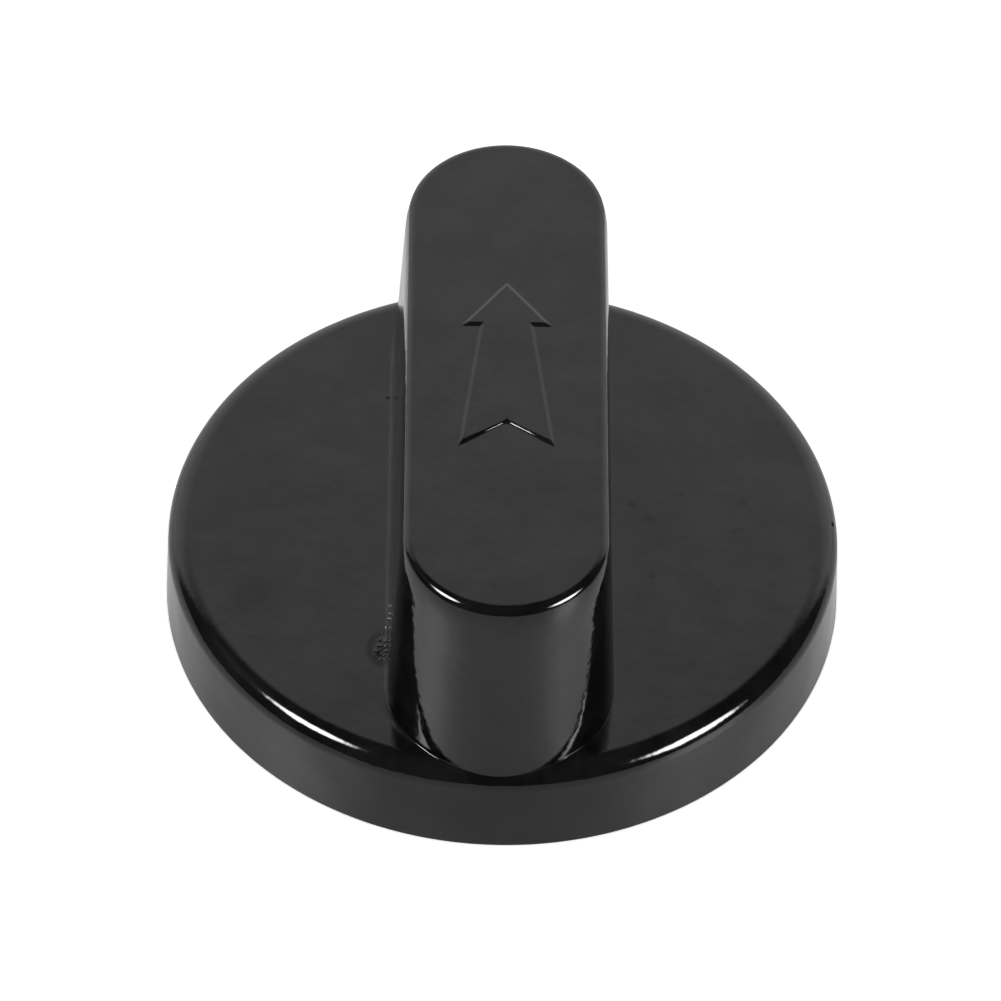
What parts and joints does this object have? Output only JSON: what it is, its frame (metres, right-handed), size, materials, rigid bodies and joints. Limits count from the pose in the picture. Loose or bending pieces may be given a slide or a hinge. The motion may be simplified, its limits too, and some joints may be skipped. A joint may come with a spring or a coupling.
{
  "type": "oven control knob",
  "caption": "Round skirted knob with a tapered bar grip and a raised arrow; its boss pushes onto a spindle with one flat, held by a leaf spring.",
  "frame": {"origin": "on the turning axis, in the plane of the rim that faces the panel", "axes": "+Z along the turning axis, away from the panel; +Y where the arrow on the grip points"},
  "size_m": [0.054, 0.054, 0.0257],
  "materials": {
    "black_enamel": "gloss black enamel on a die casting",
    "spring_steel": "bare rolled spring steel"
  },
  "bodies": {
    "root": {"knob_body": "black_enamel", "spring_clip": "spring_steel"}
  },
  "joints": []
}
